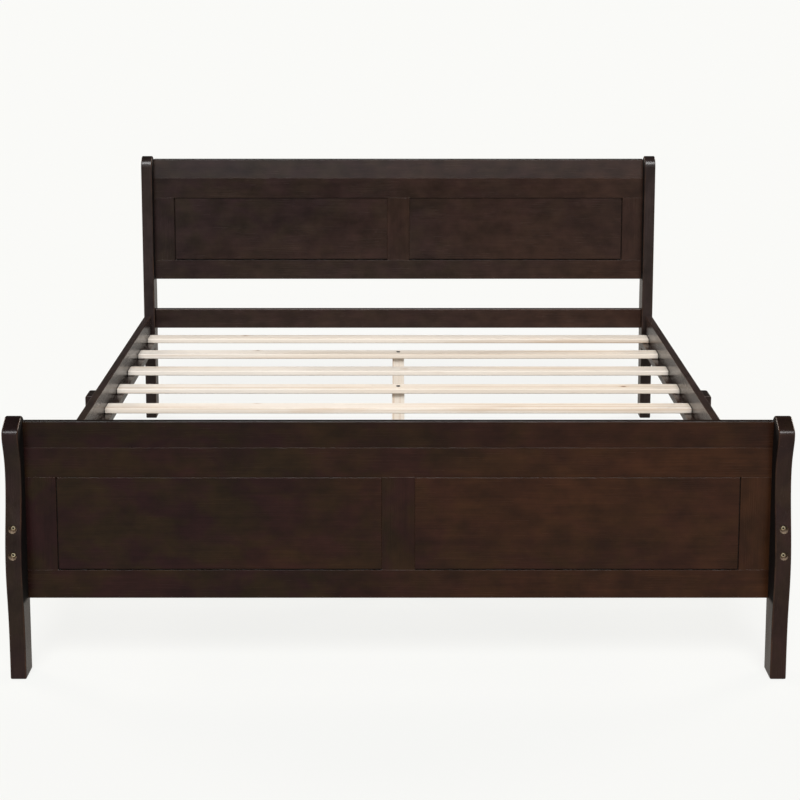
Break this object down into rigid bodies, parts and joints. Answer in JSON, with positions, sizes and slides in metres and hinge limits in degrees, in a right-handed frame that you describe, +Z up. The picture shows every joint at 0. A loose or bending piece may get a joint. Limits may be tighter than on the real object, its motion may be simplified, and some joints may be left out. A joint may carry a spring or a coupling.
{
  "type": "sleigh bed",
  "caption": "Queen-size wooden sleigh bed: scroll-shaped posts, framed panel headboard and footboard, side rails and a slatted base that carries a mattress.",
  "frame": {"origin": "floor level, at the centre of the bed's length and width", "axes": "+X across the bed to the right of someone standing at its foot, +Y from the foot towards the head, +Z up"},
  "size_m": [1.6366, 2.199, 0.828],
  "materials": {
    "espresso_wood": "dark espresso stain under semi-gloss lacquer, faint mottled grain",
    "bare_pine": "bare planed pine with pale beige streaks",
    "brass_bolts": "satin brass-plated socket bolts",
    "steel_screws": "dull grey steel screw heads"
  },
  "bodies": {
    "root": {"head_cap": "espresso_wood", "head_top_rail": "espresso_wood", "head_bottom_rail": "espresso_wood", "head_mullion": "espresso_wood", "head_stile_left": "espresso_wood", "head_panel_left": "espresso_wood", "head_stile_right": "espresso_wood", "head_panel_right": "espresso_wood", "head_post_left": "espresso_wood", "head_post_right": "espresso_wood", "head_bolt_left_upper": "brass_bolts", "head_bolt_left_lower": "brass_bolts", "head_bolt_right_upper": "brass_bolts", "head_bolt_right_lower": "brass_bolts", "foot_cap": "espresso_wood", "foot_top_rail": "espresso_wood", "foot_bottom_rail": "espresso_wood", "foot_mullion": "espresso_wood", "foot_stile_left": "espresso_wood", "foot_panel_left": "espresso_wood", "foot_stile_right": "espresso_wood", "foot_panel_right": "espresso_wood", "foot_post_left": "espresso_wood", "foot_post_right": "espresso_wood", "foot_bolt_left_upper": "brass_bolts", "foot_bolt_left_lower": "brass_bolts", "foot_bolt_right_upper": "brass_bolts", "foot_bolt_right_lower": "brass_bolts", "head_stretcher": "espresso_wood", "side_rail_left": "espresso_wood", "ledger_left": "espresso_wood", "mid_leg_left": "espresso_wood", "side_rail_right": "espresso_wood", "ledger_right": "espresso_wood", "mid_leg_right": "espresso_wood", "slat_01": "bare_pine", "slat_02": "bare_pine", "slat_leg_02": "bare_pine", "slat_screw_02": "steel_screws", "slat_03": "bare_pine", "slat_04": "bare_pine", "slat_leg_04": "bare_pine", "slat_screw_04": "steel_screws", "slat_05": "bare_pine", "slat_06": "bare_pine", "slat_leg_06": "bare_pine", "slat_screw_06": "steel_screws", "slat_07": "bare_pine", "slat_08": "bare_pine", "slat_leg_08": "bare_pine", "slat_screw_08": "steel_screws", "slat_09": "bare_pine", "slat_10": "bare_pine"}
  },
  "joints": []
}
